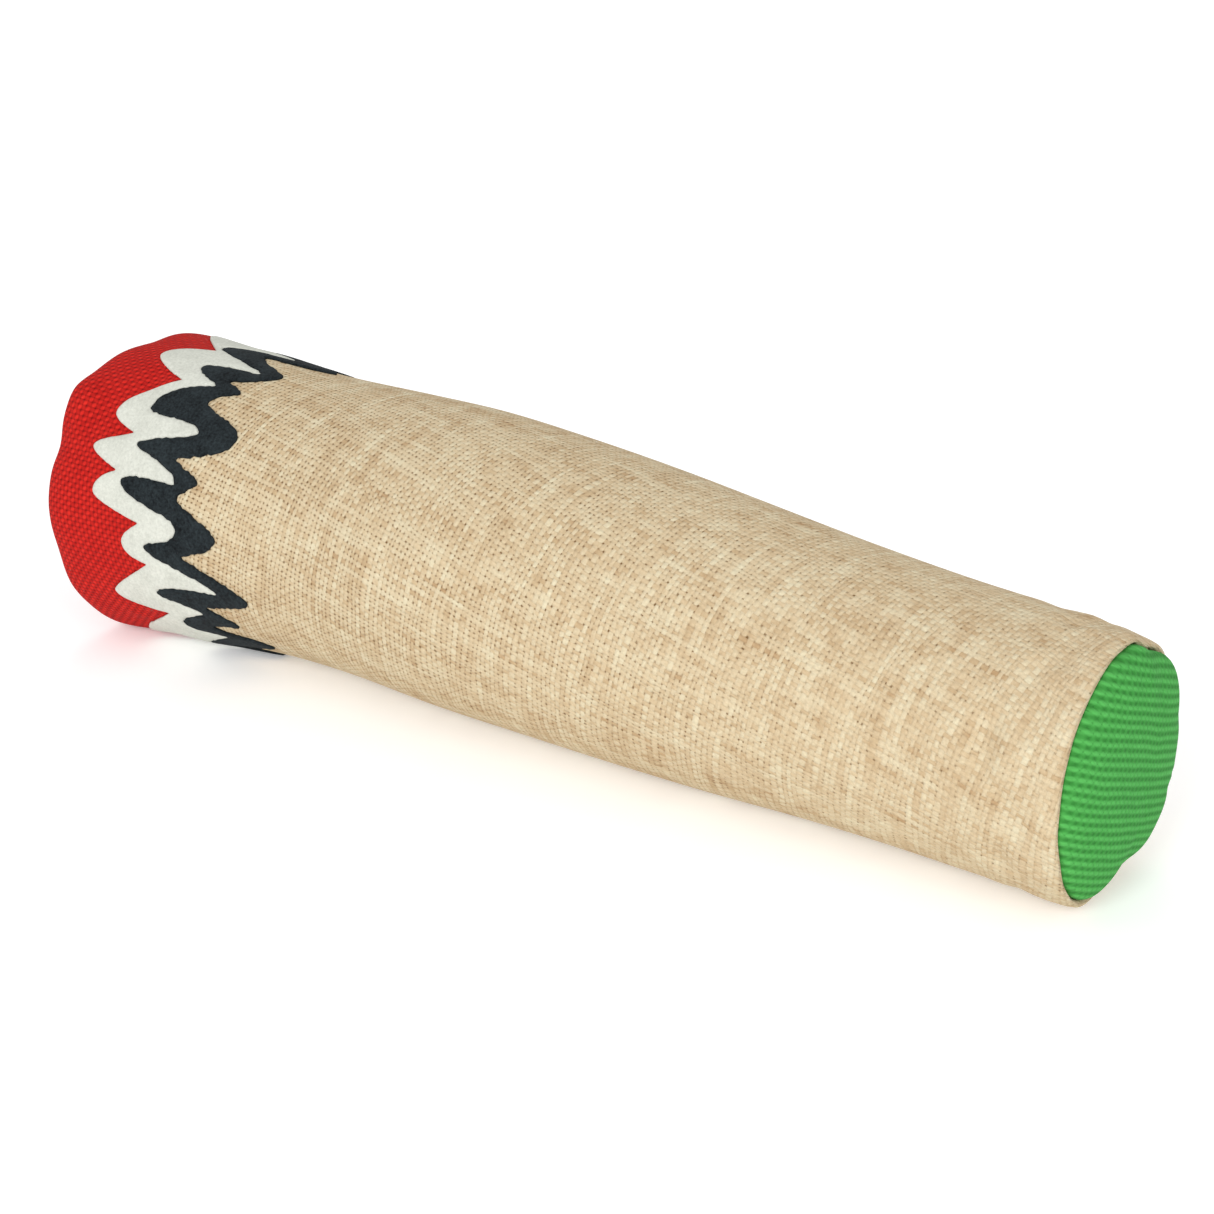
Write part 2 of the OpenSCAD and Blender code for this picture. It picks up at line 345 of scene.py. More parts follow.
def cloth_disc(name, skin, step, columns, thickness, material):
    """A closed cloth disc with its turned-in edge. Its weave runs straight across the end."""
    s = np.linspace(step, skin.at[-1], int(skin.at[-1] / step))
    angles = np.arange(columns) * 360.0 / columns
    outer = skin.point(s[:, None], angles[None], 0.0, 0.0)
    inner = skin.point(s[:, None], angles[None], -thickness, thickness)
    rows = len(s)
    count = rows * columns
    points = np.vstack([two_sides(outer, inner), outer[0].mean(0), inner[0].mean(0)])
    last = np.arange(count - columns, count)
    quads = np.vstack([grid_faces(rows, columns)[0], grid_faces(rows, columns, count)[0],
                       edge_faces(last, last + count)])
    ring = list(range(columns))
    faces = quads.tolist() + fan_faces(2 * count, ring)
    faces += fan_faces(2 * count + 1, [count + k for k in ring])
    uv = np.vstack([points[f, 1:] for f in faces])
    return make_mesh(name, points, faces, material, uv)


# ---- stuffing under pressure ----

class Moved:
    """How far the simulation moved a skin, read smoothly between its rows and columns."""

    def __init__(self, rows, table):
        self.rows, self.table = np.array(rows), table

    @staticmethod
    def weights(f):
        """Cubic weights of the four rows or columns round a spot, f past the second."""
        return np.stack([-f + 2 * f ** 2 - f ** 3, 2 - 5 * f ** 2 + 3 * f ** 3,
                         f + 4 * f ** 2 - 3 * f ** 3, f ** 3 - f ** 2], -1) / 2

    def __call__(self, s, angle):
        s, angle = np.broadcast_arrays(s, angle)
        count, columns = self.table.shape[:2]
        row = np.interp(s, self.rows, np.arange(count))
        column = (angle / 360.0 * columns) % columns
        i, j = np.minimum(row.astype(int), count - 2), column.astype(int)
        wi, wj = self.weights(row - i), self.weights(column - j)
        total = 0
        for m in range(4):
            for n in range(4):
                value = self.table[np.clip(i + m - 1, 0, count - 1), (j + n - 1) % columns]
                total = total + value * (wi[..., m] * wj[..., n])[..., None]
        return total


CLOTH_SETTINGS = {
    "quality": 6, "mass": 0.3, "tension_stiffness": 12, "compression_stiffness": 12,
    "shear_stiffness": 5, "bending_stiffness": 0.3, "vertex_group_mass": "seams",
    "shrink_min": -0.02, "use_pressure": True, "uniform_pressure_force": 3.0}
SIM_COLUMNS = 54
SIM_FRAMES = 22
# The bag is simulated this many times as large, where Blender's cloth is steadier.
SIM_SCALE = 10.0
# The furthest that a point keeps of its movement, and the discs' share of it.
MOST_MOVED = 0.65
DISC_SHARE = 0.35
# How far from each end seam the wall's movement grows to its full size.
CALM_END = 14.0


def only_uneven(moved, angles):
    """Takes away each ring's even swelling, which the outlines already hold."""
    turn = np.radians(angles)
    out = np.stack([0 * turn, np.cos(turn), np.sin(turn)], -1)[None]
    swelling = (moved * out).sum(-1, keepdims=True).mean(1, keepdims=True) * out
    slide = moved.mean(1, keepdims=True) * [1, 0, 0]
    return moved - swelling - slide


def blown_up(bag):
    """Where a bag's points are after cloth simulation under pressure, its seams held."""
    cloth = bag.modifiers.new("cloth", "CLOTH")
    for setting, value in CLOTH_SETTINGS.items():
        setattr(cloth.settings, setting, value)
    cloth.settings.effector_weights.gravity = 0
    cloth.collision_settings.use_collision = False
    scene = bpy.context.scene
    for frame_number in range(1, SIM_FRAMES + 1):
        scene.frame_set(frame_number)
    settled = bag.evaluated_get(bpy.context.evaluated_depsgraph_get()).to_mesh()
    after = np.empty(len(settled.vertices) * 3, np.float32)
    settled.vertices.foreach_get("co", after)
    scene.frame_set(1)
    return after


def stuff_cover():
    """Blows up the cover as cloth held at its two seams, and keeps the movement in each skin."""
    # Each skin with its rows in the bag, which has no turned-in edges.
    parts = [(red_disc, np.linspace(1.0, 23.4, 8)), (wall, np.linspace(7.6, WALL_AT[-1] - 7.2, 64)),
             (green_disc, np.linspace(18.0, 1.0, 7))]
    angles = np.arange(SIM_COLUMNS) * 360.0 / SIM_COLUMNS
    rings = np.concatenate([skin.point(s[:, None], angles[None]) for skin, s in parts])
    rows = len(rings)
    faces = grid_faces(rows, SIM_COLUMNS)[0].tolist()
    faces += [list(range(SIM_COLUMNS)), [(rows - 1) * SIM_COLUMNS + k for k in range(SIM_COLUMNS)]]
    bag = make_mesh("stuffed_cover", rings.reshape(-1, 3) * SIM_SCALE, faces, None)
    first = len(parts[0][1])
    last = first + len(parts[1][1])
    held = bag.vertex_groups.new(name="seams")
    for row in (first - 1, first, last - 1, last):
        held.add([row * SIM_COLUMNS + k for k in range(SIM_COLUMNS)], 1.0, "REPLACE")
    moved = blown_up(bag).reshape(rings.shape) / MM / SIM_SCALE - rings
    bpy.data.objects.remove(bag)
    moved = only_uneven(moved, angles)
    size = np.linalg.norm(moved, axis=-1, keepdims=True)
    moved *= np.minimum(1, MOST_MOVED / np.maximum(size, 1e-6))
    start = 0
    for skin, s in parts:
        share = np.full(len(s), DISC_SHARE)
        if skin is wall:
            share = np.clip(np.minimum(s - s[0], s[-1] - s) / CALM_END, 0, 1)
        table = moved[start:start + len(s)] * share[:, None, None]
        start += len(s)
        way = 1 if s[0] < s[-1] else -1
        skin.moved = Moved(s[::way], table[::way])


# ---- materials ----

class Shade:
    """A node material, built up from small steps."""

    def __init__(self, name, **settings):
        self.material = bpy.data.materials.new(name)
        self.material.use_nodes = True
        self.nodes = self.material.node_tree.nodes
        self.links = self.material.node_tree.links
        self.surface = self.nodes["Principled BSDF"]
        for socket, value in settings.items():
            self.surface.inputs[socket.replace("_", " ")].default_value = value

    def node(self, kind, inputs=(), **settings):
        made = self.nodes.new("ShaderNode" + kind)
        for key, value in settings.items():
            setattr(made, key, value)
        for key, value in dict(inputs).items():
            self.put(made.inputs[key], value)
        return made

    def put(self, socket, value):
        if isinstance(value, bpy.types.NodeSocket):
            self.links.new(value, socket)
        else:
            socket.default_value = value

    def math(self, operation, a, b=0.0, c=0.0):
        return self.node("Math", {0: a, 1: b, 2: c}, operation=operation).outputs[0]

    def times(self, a, b):
        return self.math("MULTIPLY", a, b)

    def scaled(self, value, scale, shift):
        return self.math("MULTIPLY_ADD", value, scale, shift)

    def vector(self, x, y, z=0.0):
        return self.node("CombineXYZ", {0: x, 1: y, 2: z}).outputs[0]

    def noise(self, vector, scale, detail=2.0, roughness=0.5):
        return self.node("TexNoise", {"Vector": vector, "Scale": scale, "Detail": detail,
                                      "Roughness": roughness}).outputs[0]

    def ramp(self, factor, stops):
        made = self.node("ValToRGB", {0: factor})
        line = made.color_ramp.elements
        while len(line) < len(stops):
            line.new(0.5)
        for element, (position, colour) in zip(line, stops):
            element.position = position
            element.color = (*colour, 1)
        return made.outputs[0]

    def mix(self, factor, a, b, blend="MIX"):
        made = self.node("Mix", data_type="RGBA", blend_type=blend)
        self.put(made.inputs[0], factor)
        for socket, value in ((made.inputs[6], a), (made.inputs[7], b)):
            self.put(socket, (*value, 1) if isinstance(value, tuple) else value)
        return made.outputs[2]

    def span(self, value, low, high, to_low=0.0, to_high=1.0):
        return self.node("MapRange", {0: value, 1: low, 2: high, 3: to_low, 4: to_high}).outputs[0]

    def cloth(self):
        return self.node("UVMap", uv_map="cloth_mm").outputs[0]

    def space(self):
        return self.node("TexCoord").outputs["Object"]

    def colour(self, value):
        self.put(self.surface.inputs["Base Color"], value)

    def bump(self, height, distance, strength=1.0):
        made = self.node("Bump", {"Height": height, "Distance": distance * MM, "Strength": strength})
        self.put(self.surface.inputs["Normal"], made.outputs[0])


FADE_MIDDLE = 110.0
FIBRES_A_YARN = 2.6
FIBRE_DULL = (0.86, 0.85, 0.84)
FIBRE_PALE = (1.0, 1.0, 1.0)


def weave(name, pitch, grain, width, crimp, wander, slant, slubs, patches, gap, gap_height, specks,
          fade, tones, depth):
    """Plain weave from uneven yarns, with the grain turned that many degrees from the stick's line.

    pitch is millimetres a yarn, width the least and most share of it that a yarn covers, crimp how far
    each set rises, and slant how far the crossings run together into slanting ribs. wander is how many
    yarns the lines drift. slubs and patches are how strongly the tone varies along a yarn and in wider
    clouds, over tones from the dullest to the palest. gap is the colour of painted shade between the
    yarns, shown over the range gap_height where the noise is over specks, and fade is how much fewer
    of these painted-shade specks there are each millimetre towards the green end. depth is the bump's,
    in millimetres.
    """
    shade = Shade(name, Roughness=0.9, Specular_IOR_Level=0.15)
    turned = shade.node("Mapping", {"Vector": shade.cloth(), "Scale": (1, 1, 1),
                                    "Rotation": (0, 0, -math.radians(grain))}, vector_type="POINT")
    parts = shade.node("SeparateXYZ", {0: turned.outputs[0]})
    straight = [shade.math("DIVIDE", parts.outputs[k], pitch[k]) for k in (0, 1)]
    drift = [shade.vector(shade.times(straight[1 - k], 0.05), shade.times(straight[k], 0.16), 9.0 * k)
             for k in (0, 1)]
    drift = [shade.noise(v, 1.0, 2) for v in drift]
    a, b = (shade.scaled(drift[k], wander, straight[k]) for k in (0, 1))
    ia, ib = shade.math("FLOOR", a), shade.math("FLOOR", b)
    fa = shade.math("SUBTRACT", shade.math("SUBTRACT", a, ia), 0.5)
    fb = shade.math("SUBTRACT", shade.math("SUBTRACT", b, ib), 0.5)
    parity = shade.math("FLOORED_MODULO", shade.math("ADD", ia, ib), 2.0)
    sign = shade.scaled(parity, -2.0, 1.0)

    def yarn(across, along, run, index, rise, seed):
        """Height and tone of one set of yarns."""
        slub = shade.noise(shade.vector(shade.times(run, 0.14), shade.times(index, 5.17), seed), 1.0, 2)
        share = shade.math("DIVIDE", shade.times(across, 2.0), shade.span(slub, 0.28, 0.72, *width))
        under = shade.math("SUBTRACT", 1.0, shade.times(share, share))
        dome = shade.math("SQRT", shade.math("MAXIMUM", under, 0.0))
        wave = shade.times(shade.math("COSINE", shade.times(along, math.pi)), sign)
        height = shade.scaled(wave, rise, shade.times(dome, 0.45))
        open_ = shade.math("LESS_THAN", dome, 0.03)
        tint = shade.vector(shade.times(run, 0.045), shade.times(index, 3.31), seed + 20)
        tint = shade.noise(tint, 1.0, 2)
        tone = shade.scaled(tint, 1.3, shade.times(slub, 0.7))
        return shade.math("SUBTRACT", height, open_), tone

    warp, warp_tone = yarn(fa, fb, b, ia, crimp[0], 3.0)
    weft, weft_tone = yarn(fb, fa, a, ib, -crimp[1], 11.0)
    height = shade.math("MAXIMUM", shade.math("MAXIMUM", warp, weft), -0.5)
    ribs = shade.math("COSINE", shade.times(shade.math("ADD", a, b), math.pi))
    height = shade.scaled(ribs, -slant, height)
    warp_up = shade.math("GREATER_THAN", warp, weft)
    warp_share = shade.scaled(warp_up, 0.40, 0.30)
    tone = shade.node("Mix", {0: warp_share, 2: weft_tone, 3: warp_tone}, data_type="FLOAT").outputs[0]
    cloud = shade.noise(shade.cloth(), 0.26, 4, 0.65)
    tone = shade.times(shade.math("SUBTRACT", tone, 1.0), slubs)
    patch = shade.scaled(shade.math("SUBTRACT", cloud, 0.5), patches, 0.5)
    tone = shade.math("ADD", tone, patch)
    # Painted light: crossings with the warp on top are painted a little lighter.
    colour = shade.ramp(shade.scaled(warp_up, 0.06, tone), tones)
    along = shade.node("SeparateXYZ", {0: shade.cloth()}).outputs[0]
    speck = shade.scaled(shade.math("SUBTRACT", along, FADE_MIDDLE), -fade,
                         shade.noise(shade.cloth(), 0.75, 3, 0.6))
    # Painted shade between the yarns: the gap colour, where the speck noise is high enough.
    gap_shade = shade.mix(shade.span(speck, *specks), colour, gap)
    fibre = shade.noise(shade.vector(*(shade.times(v, FIBRES_A_YARN) for v in (a, b))), 1.0, 2)
    # Where the yarns sink low, the painted gap shade shows in place of the yarn's colour.
    gap_shaded_colour = shade.mix(shade.span(height, *gap_height), gap_shade, colour)
    fibre_tone = shade.ramp(fibre, [(0.3, FIBRE_DULL), (0.7, FIBRE_PALE)])
    shade.colour(shade.mix(1.0, gap_shaded_colour, fibre_tone, "MULTIPLY"))
    shade.bump(shade.scaled(fibre, 0.15, height), depth, 1.0)
    return shade.material


def linen_cloth():
    # Painted shade: the brown (0.19, 0.105, 0.04) is the shade between the yarns.
    return weave("linen_cloth", (0.97, 0.88), 12.0, (0.56, 0.90), (0.38, 0.30), 2.4, 0.12, 0.42, 0.36,
                 (0.19, 0.105, 0.04), (-0.5, 0.42), (0.36, 0.60), 0.0014,
                 [(0.30, (0.41, 0.25, 0.12)), (0.42, (0.53, 0.385, 0.225)), (0.52, (0.63, 0.50, 0.32)),
                  (0.68, (0.72, 0.64, 0.45))], 0.18)


def canvas(name, pitch, grain, crimp, slant, gap, dark, light, depth):
    # The gap colour is painted shade between the yarns, shown fully wherever they sink low.
    return weave(name, (pitch, pitch), grain, (0.88, 1.0), crimp, 0.7, slant, 0.3, 0.4, gap,
                 (0.05, 0.85), (-2.0, -1.0), 0.0, [(0.3, dark), (0.7, light)], depth)


def felt(name, dark, light, fuzz):
    shade = Shade(name, Roughness=0.95, Specular_IOR_Level=0.2)
    fluff = shade.noise(shade.space(), 1900.0, 4, 0.7)
    cloud = shade.noise(shade.space(), 260.0, 3)
    tone = shade.scaled(cloud, 0.3, shade.times(fluff, 0.7))
    shade.colour(shade.ramp(tone, [(0.35, dark), (0.65, light)]))
    shade.bump(fluff, 0.15, fuzz)
    return shade.material


def thread(name, dark, light):
    shade = Shade(name, Roughness=0.6, Sheen_Weight=0.2)
    parts = shade.node("SeparateXYZ", {0: shade.space()})
    across = shade.math("ADD", parts.outputs[0], parts.outputs[2])
    twist = shade.math("SINE", shade.times(across, 9000.0))
    shade.colour(shade.mix(shade.span(twist, -1, 1), dark, light))
    shade.bump(twist, 0.04, 0.6)
    return shade.material


def cardboard():
    shade = Shade("spiral_cardboard", Roughness=0.9)
    parts = shade.node("SeparateXYZ", {0: shade.space()})
    turn = shade.math("ARCTAN2", parts.outputs[1], shade.math("SUBTRACT", parts.outputs[2], 0.023))
    strip = shade.math("FRACT", shade.math("ADD", shade.times(parts.outputs[0], 28.0),
                                           shade.times(turn, 1 / (2 * math.pi))))
    seam = shade.span(shade.math("ABSOLUTE", shade.math("SUBTRACT", strip, 0.5)), 0.0, 0.03)
    fibre = shade.noise(shade.space(), 900.0, 5, 0.7)
    board = shade.ramp(fibre, [(0.35, (0.30, 0.18, 0.09)), (0.65, (0.50, 0.33, 0.19))])
    shade.colour(shade.mix(seam, (0.20, 0.12, 0.06), board))
    shade.bump(shade.math("ADD", fibre, seam), 0.08, 0.5)
    return shade.material


def kraft_paper():
    shade = Shade("kraft_tape", Roughness=0.8)
    crease = shade.noise(shade.space(), 180.0, 6, 0.7)
    shade.colour(shade.ramp(crease, [(0.35, (0.45, 0.30, 0.16)), (0.65, (0.64, 0.46, 0.27))]))
    shade.bump(crease, 0.15, 0.6)
    return shade.material


def wood(name, dark, light, grain):
    shade = Shade(name, Roughness=0.6)
    stretched = shade.node("Mapping", {"Vector": shade.space(), "Scale": grain})
    rings = shade.noise(stretched.outputs[0], 1.0, 5, 0.6)
    shade.colour(shade.ramp(rings, [(0.35, dark), (0.65, light)]))
    shade.bump(rings, 0.05, 0.5)
    return shade.material


def bead_plastic(name, base):
    shade = Shade(name, Roughness=0.25, Coat_Weight=0.3)
    cloud = shade.noise(shade.space(), 400.0, 2)
    darker = tuple(0.8 * c for c in base)
    shade.colour(shade.ramp(cloud, [(0.3, darker), (0.7, base)]))
    return shade.material


def batting_fibre():
    shade = Shade("batting_fibre", Roughness=1.0, Sheen_Weight=0.3)
    strands = shade.noise(shade.space(), 700.0, 6, 0.75)
    shade.colour(shade.ramp(strands, [(0.3, (0.66, 0.66, 0.63)), (0.6, (0.88, 0.88, 0.86))]))
    shade.bump(strands, 0.3, 0.8)
    return shade.material


LINEN = linen_cloth()
# Each canvas's colour after its slant is the painted shade between its yarns.
RED = canvas("red_canvas", 0.88, -2.0, (0.42, 0.24), 0.14, (0.22, 0.003, 0.003), (0.50, 0.008, 0.006),
             (0.74, 0.026, 0.017), 0.26)
GREEN = canvas("green_canvas", 0.96, 23.0, (0.24, 0.20), 0.42, (0.036, 0.235, 0.038),
               (0.070, 0.365, 0.073), (0.100, 0.465, 0.102), 0.20)
WHITE = felt("white_felt", (0.50, 0.51, 0.45), (0.67, 0.68, 0.61), 0.5)
BLACK = felt("black_felt", (0.001, 0.002, 0.003), (0.024, 0.033, 0.037), 0.7)
RED_THREAD = thread("red_thread", (0.45, 0.02, 0.015), (0.66, 0.05, 0.03))
LINEN_THREAD = thread("linen_thread", (0.55, 0.42, 0.24), (0.80, 0.68, 0.48))
BATTING = batting_fibre()

# ---- felt bands ----

# Turning points of each hand-cut edge from the top, down the front, to the ground, as
# (angle, place, roundness before it, roundness after it). carry_on draws the unseen side.
WHITE_TURNS = [
    (70, -92, 1.5, 1.5), (89, -82.2, 0.2, 0.3), (101.5, -89.6, 4, 2.8), (112.6, -80.1, 0.2, 0.3),
    (133, -88, 4, 2), (139.4, -82.3, 0.2, 0.3), (147.9, -89.5, 1.5, 1.5),
    (154.7, -83.2, 0.2, 0.3), (164, -87.5, 2.9, 2), (172.1, -76.8, 0.2, 0.3),
    (181, -80.8, 2, 2.8), (188, -75.6, 0.2, 0.3), (205, -86, 1.5, 3),
    (212, -75.3, 0.2, 0.3), (237, -88.6, 3, 2.6)]
BLACK_TURNS = [
    (83, -83, 2.6, 3.6), (96, -68.7, 1.2, 0.8), (103, -79.4, 2, 2),
    (110.8, -73, 0.6, 0.6), (128.2, -81.9, 5.9, 1.6), (133.2, -69.3, 2.6, 1.3),
    (143, -80.5, 1.3, 1.3), (154.6, -70.1, 3.3, 0.6), (157.7, -81.5, 2.2, 3.4),
    (171.5, -68.5, 2.9, 3.4), (181, -75.7, 1.6, 1.6), (195.9, -61.2, 2.2, 0.2),
    (200.8, -75.3, 2.5, 1.3), (209, -67, 1.6, 0.6), (218, -73.5, 2.6, 3),
    (224.5, -66, 0.4, 1.4), (240, -75, 2.8, 2.4)]
LINEN_TURNS = [
    (73, -60.5, 1.4, 1.2), (80.4, -73.9, 1.2, 3), (93.6, -64.8, 1.7, 2.6),
    (106.5, -71.3, 0.6, 0.4), (110.9, -67.3, 1, 0.6), (118.9, -71.5, 2.1, 2.4),
    (133, -61, 4.5, 3.4), (145.2, -71.2, 0.7, 1), (152.5, -65.5, 1.8, 0.9),
    (160.2, -69, 1.8, 1.2), (173, -60, 2.8, 2.4), (182.1, -67.5, 0.7, 0.5),
    (197.8, -54.6, 2.4, 1.4), (205.1, -65.4, 0.6, 0.4), (214, -60, 1.4, 0.5),
    (217.8, -67, 1.4, 1.6), (227, -56, 1.6, 1.6), (238, -69, 1.4, 1.4)]
MM_PER_DEGREE = 0.471
EDGE_STEP = 0.35
# The unseen side: degrees from one turning point to the next, and how far the lobes sway.
TURN_SPACING = 9.15
TURN_SWAY = 2.4
ROUNDNESS_SWAY = 0.35
# A band's mesh: the grid's step, how far in from the edge a row of points lies, how clear of the
# edge the row and the grid stay, and how far in from it the felt is at its full thickness.
FELT_GRID_STEP = 0.85
FELT_INSET = 0.32
INSET_CLEAR = 0.24
GRID_CLEAR = 0.75
FELT_ROUNDING = 0.4
# The share of its thickness that the felt has at its cut edge, and how far it lies off the cloth.
FELT_EDGE = 0.62
FELT_LIFT = 0.04


def carry_on(turns, right, left):
    """The same edge on round the unseen side. right and left each give the place and roundness of a
    turning point. The seed is shared, so the three edges sway together as they do in front."""
    random = np.random.default_rng(14)
    start, until = turns[-1][0], turns[0][0] + 360
    was_right = turns[-1][1] > turns[-2][1]
    odd = was_right != (turns[0][1] > turns[1][1])
    halves = 2 * round(((until - start) / TURN_SPACING - odd) / 2) + odd
    more = []
    for k in range(1, halves):
        shift, sway, before, after = random.uniform(-1, 1, 4)
        place, roundness = right if was_right == (k % 2 == 0) else left
        more.append((start + (until - start) * (k + 0.25 * shift) / halves, place + TURN_SWAY * sway,
                     roundness * (1 + ROUNDNESS_SWAY * before), roundness * (1 + ROUNDNESS_SWAY * after)))
    return turns + more


def sideways(line):
    """The direction square to a line, at each of its points."""
    side = np.gradient(line, axis=0)[:, ::-1] * [1, -1]
    return side / np.maximum(np.linalg.norm(side, axis=1, keepdims=True), 1e-9)


def edge_curve(turns, rough, seed):
    """A closed edge as (place, millimetres round) points through its turning points."""
    random = np.random.default_rng(seed)
    loop = turns + [(turns[0][0] + 360,) + turns[0][1:]]
    t = np.linspace(0, 1, 40, endpoint=False)[:, None]
    line = []
    for (a0, x0, _, r0), (a1, x1, r1, _) in zip(loop, loop[1:]):
        p0 = np.array([x0, a0 * MM_PER_DEGREE])
        p3 = np.array([x1, a1 * MM_PER_DEGREE])
        p1, p2 = p0 + [0, r0], p3 - [0, r1]
        line.append((1 - t) ** 3 * p0 + 3 * (1 - t) ** 2 * t * p1
                    + 3 * (1 - t) * t ** 2 * p2 + t ** 3 * p3)
    line = np.vstack(line + [p3[None]])
    along = lengths(line)
    line = read_line(np.linspace(0, along[-1], int(along[-1] / EDGE_STEP) + 1), along, line)
    knots = random.uniform(-1, 1, len(line) // 2 + 2)
    nibble = np.interp(np.arange(len(line)) / 2, np.arange(len(knots)), knots)
    nibble[[0, 1, -2, -1]] = 0
    return line + sideways(line) * (rough * nibble)[:, None]


def inside(points, polygon):
    """Which points lie in a polygon."""
    a, b = polygon, np.roll(polygon, -1, axis=0)
    crosses = (a[None, :, 1] > points[:, None, 1]) != (b[None, :, 1] > points[:, None, 1])
    slope = (b[:, 0] - a[:, 0]) / np.where(b[:, 1] == a[:, 1], 1e-9, b[:, 1] - a[:, 1])
    reach = a[None, :, 0] + (points[:, None, 1] - a[None, :, 1]) * slope[None]
    return (crosses & (points[:, None, 0] < reach)).sum(1) % 2 == 1


def nearest(points, line):
    """How far each point is from the points of a line."""
    return np.sqrt(((points[:, None] - line[None]) ** 2).sum(-1)).min(1)


def flat_band(left, right):
    """A band laid flat, as points and triangles, with its start and end joined into a ring."""
    cut = np.linspace(0, 1, 9)[1:-1, None]
    start_cut = left[0] + (right[0] - left[0]) * cut
    end_cut = start_cut + [0, 360 * MM_PER_DEGREE]
    outline = np.vstack([left, end_cut, right[::-1], start_cut[::-1]])
    xs = np.arange(outline[:, 0].min(), outline[:, 0].max(), FELT_GRID_STEP)
    ys = np.arange(outline[:, 1].min(), outline[:, 1].max(), FELT_GRID_STEP)
    grid = np.stack(np.meshgrid(xs, ys), -1).reshape(-1, 2)
    inset = []
    for line in (left, right):
        side = sideways(line)[2:-2] * FELT_INSET
        inset += [line[2:-2] + side, line[2:-2] - side]
    inset = np.vstack(inset)
    boundary = np.vstack([left, right, start_cut, end_cut])
    inset = inset[inside(inset, outline) & (nearest(inset, boundary) > INSET_CLEAR)]
    grid = grid[inside(grid, outline) & (nearest(grid, boundary) > GRID_CLEAR)]
    flat = np.vstack([outline, inset, grid])
    ring = [(i, (i + 1) % len(outline)) for i in range(len(outline))]
    verts, _, triangles, *_ = geometry.delaunay_2d_cdt([Vector(p) for p in flat], ring, [], 1, 1e-4)
    flat = np.array([tuple(v) for v in verts])
    ends, begins = (np.flatnonzero(nearest(flat, np.vstack(tip)) < 1e-3)
                    for tip in ([left[-1:], right[-1:], end_cut], [left[:1], right[:1], start_cut]))
    same = np.arange(len(flat))
    for i in ends:
        target = flat[i] - [0, 360 * MM_PER_DEGREE]
        same[i] = begins[np.argmin(np.linalg.norm(flat[begins] - target, axis=1))]
    used, renumber = np.unique(same, return_inverse=True)
    triangles = renumber.reshape(-1)[np.array([list(t) for t in triangles])]
    return flat[used], np.array([t for t in triangles if len(set(t.tolist())) == 3])


def felt_band(name, left, right, material):
    """A felt band between two edges, laid on the wall."""
    flat, tris = flat_band(left, right)
    edges = np.vstack([left[:-1], right[:-1]])
    depth = np.clip(nearest(flat, edges) / FELT_ROUNDING, 0, 1)
    lift = FELT_T * (FELT_EDGE + (1 - FELT_EDGE) * np.sqrt(1 - (1 - depth) ** 2))
    s, angle = wall_at(flat[:, 0]), flat[:, 1] / MM_PER_DEGREE
    top = wall.point(s, angle, lift, 0.0)
    bottom = wall.point(s, angle, FELT_LIFT, 0.0)
    bottom[:, 2] = np.maximum(bottom[:, 2], FELT_T)
    # The triangles that cross the join come out either way round, so each is turned to face out.
    corners = top[tris]
    normal = np.cross(corners[:, 1] - corners[:, 0], corners[:, 2] - corners[:, 0])
    centre = corners.mean(1)
    place = centre[:, 0]
    out = centre - np.stack([place, axis_bow(place), axis_height(place)], -1)
    wrong = (normal * out).sum(-1) < 0
    tris[wrong] = tris[wrong][:, ::-1]
    sides = {(i, j) for t in tris.tolist() for i, j in zip(t, t[1:] + t[:1])}
    count = len(flat)
    faces = tris.tolist() + (tris[:, ::-1] + count).tolist()
    faces += [[j, i, i + count, j + count] for i, j in sorted(sides) if (j, i) not in sides]
    return make_mesh(name, np.vstack([top, bottom]), faces, material)


# ---- stitches and stuffing ----

def tube_between(ends_list, radius, sides=10, bow=0.25):
    """Points and faces of small round threads, each bowed out between its two ends."""
    points, faces = [], []
    for start, end, out in ends_list:
        start, end, out = (np.asarray(v, float) for v in (start, end, out))
        run = end - start
        length = np.linalg.norm(run)
        across = np.cross(run / length, out)
        first = len(points)
        steps = np.linspace(0, 1, 9)
        for t in steps:
            middle = start + run * t + out * bow * math.sin(math.pi * t)
            size = radius * (0.55 + 0.45 * math.sin(math.pi * t) ** 0.5)
            for k in range(sides):
                turn = 2 * math.pi * k / sides
                points.append(middle + size * (math.cos(turn) * out + math.sin(turn) * across))
        faces += grid_faces(len(steps), sides, first)[0].tolist()
        faces += [list(range(first, first + sides)), list(range(len(points) - sides, len(points)))]
    return points, faces


# Degrees and millimetres from stitch to stitch, and each thread's radius.
RIM_STITCH_STEP = 7.5
RIM_THREAD_R = 0.22
LADDER_STEP = 3.4
LADDER_THREAD_R = 0.24
# How far along the stick and round it a ladder stitch reaches from the seam.
LADDER_REACH = (0.9, 3.4)
# Half the opened allowance's width in degrees, and millimetres a degree there.
ALLOWANCE_HALF = 12
ALLOWANCE_MM_PER_DEGREE = 0.44
ALLOWANCE_LIFT = 0.08


def ladder_stitches():
    """Stitches that close the back seam, slanting across it."""
    low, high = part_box("closing_stitch")
    ends = []
    along, round_ = LADDER_REACH
    for place in np.arange(low.x / MM + 1, high.x / MM - 1, LADDER_STEP):
        pair = [wall.point(wall_at(place + way * along), SEAM_ANGLE + way * round_, 0.12)
                for way in (-1, 1)]
        out = wall.point(wall_at(place), SEAM_ANGLE, 1.0) - wall.point(wall_at(place), SEAM_ANGLE)
        ends.append((pair[0], pair[1], out))
    points, faces = tube_between(ends, LADDER_THREAD_R)
    return make_mesh("back_ladder_stitches", points, faces, LINEN_THREAD)


